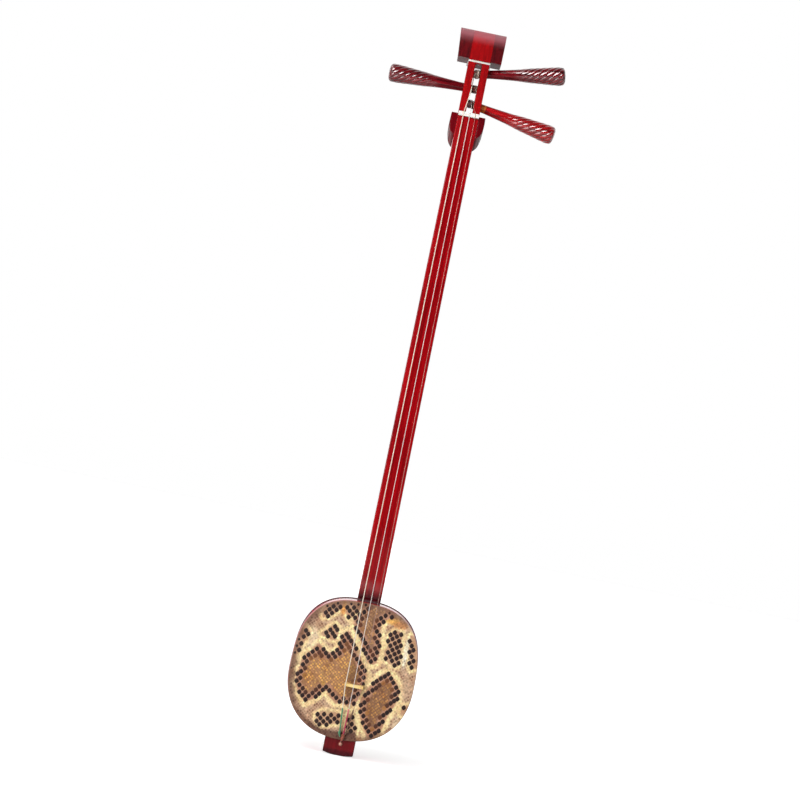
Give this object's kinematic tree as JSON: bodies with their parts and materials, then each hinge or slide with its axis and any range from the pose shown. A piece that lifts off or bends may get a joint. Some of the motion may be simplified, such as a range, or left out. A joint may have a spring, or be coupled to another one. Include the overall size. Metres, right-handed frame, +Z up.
{
  "type": "sanxian",
  "caption": "Long-necked fretless plucked lute with a shovel head, fluted pegs and a rounded drum covered in python skin on both faces.",
  "frame": {"origin": "middle of the tail block's flat bottom facet, on the axis of the stick that runs through the drum", "axes": "+Z up along the neck towards the head, -Y towards the front skin and the strings, +X to the right when the front is seen"},
  "size_m": [0.2892, 0.0931, 1.2221],
  "materials": {
    "red_lacquer": "red hardwood under gloss lacquer",
    "bright_lacquer": "bright red hardwood under gloss lacquer",
    "dark_lacquer": "dark red hardwood under gloss lacquer",
    "bone": "polished white bone",
    "bamboo": "plain satin bamboo",
    "python_skin": "python skin with its natural scales, satin",
    "nylon_string": "nylon-wound string, cream",
    "green_silk": "green silk thread binding",
    "crimson_silk": "crimson silk thread binding",
    "brown_silk": "brown twisted silk cord"
  },
  "bodies": {
    "instrument": {"neck": "red_lacquer", "head_block": "bright_lacquer", "head_wing_left": "dark_lacquer", "head_wing_right": "dark_lacquer", "head_trim": "bone", "nut": "bone", "shoulder_left": "red_lacquer", "shoulder_right": "red_lacquer", "string_low": "nylon_string", "string_middle": "nylon_string", "string_high": "nylon_string", "silk_low": "green_silk", "silk_middle": "crimson_silk", "silk_high": "brown_silk", "frame_top": "red_lacquer", "frame_right": "red_lacquer", "frame_bottom": "red_lacquer", "frame_left": "red_lacquer", "front_skin": "python_skin", "back_skin": "python_skin", "tail_block": "red_lacquer", "tail_pin": "bone", "tail_cord": "brown_silk"},
    "low_peg": {"peg_low": "dark_lacquer", "winding_low": "nylon_string"},
    "high_peg": {"peg_high": "dark_lacquer", "winding_high": "nylon_string"},
    "middle_peg": {"peg_middle": "dark_lacquer", "winding_middle": "nylon_string"},
    "bridge": {"bridge": "bamboo"}
  },
  "joints": [
    {"name": "peg_low_turn", "type": "hinge", "parent": "instrument", "child": "low_peg", "pos_m": [0, 0.00744, 1.15039], "axis": [0.9839, 0.0187, 0.1778], "continuous": true},
    {"name": "peg_middle_turn", "type": "hinge", "parent": "instrument", "child": "middle_peg", "pos_m": [0, 0.00207, 1.09927], "axis": [0.9854, -0.0178, -0.1693], "continuous": true},
    {"name": "peg_high_turn", "type": "hinge", "parent": "instrument", "child": "high_peg", "pos_m": [0, 0.00476, 1.12483], "axis": [-1, 0, 0], "continuous": true},
    {"name": "bridge_slide", "type": "slide", "parent": "instrument", "child": "bridge", "axis": [0, 0, 1], "range_m": [-0.01, 0.01], "deforming": ["string_low", "string_middle", "string_high"]}
  ]
}
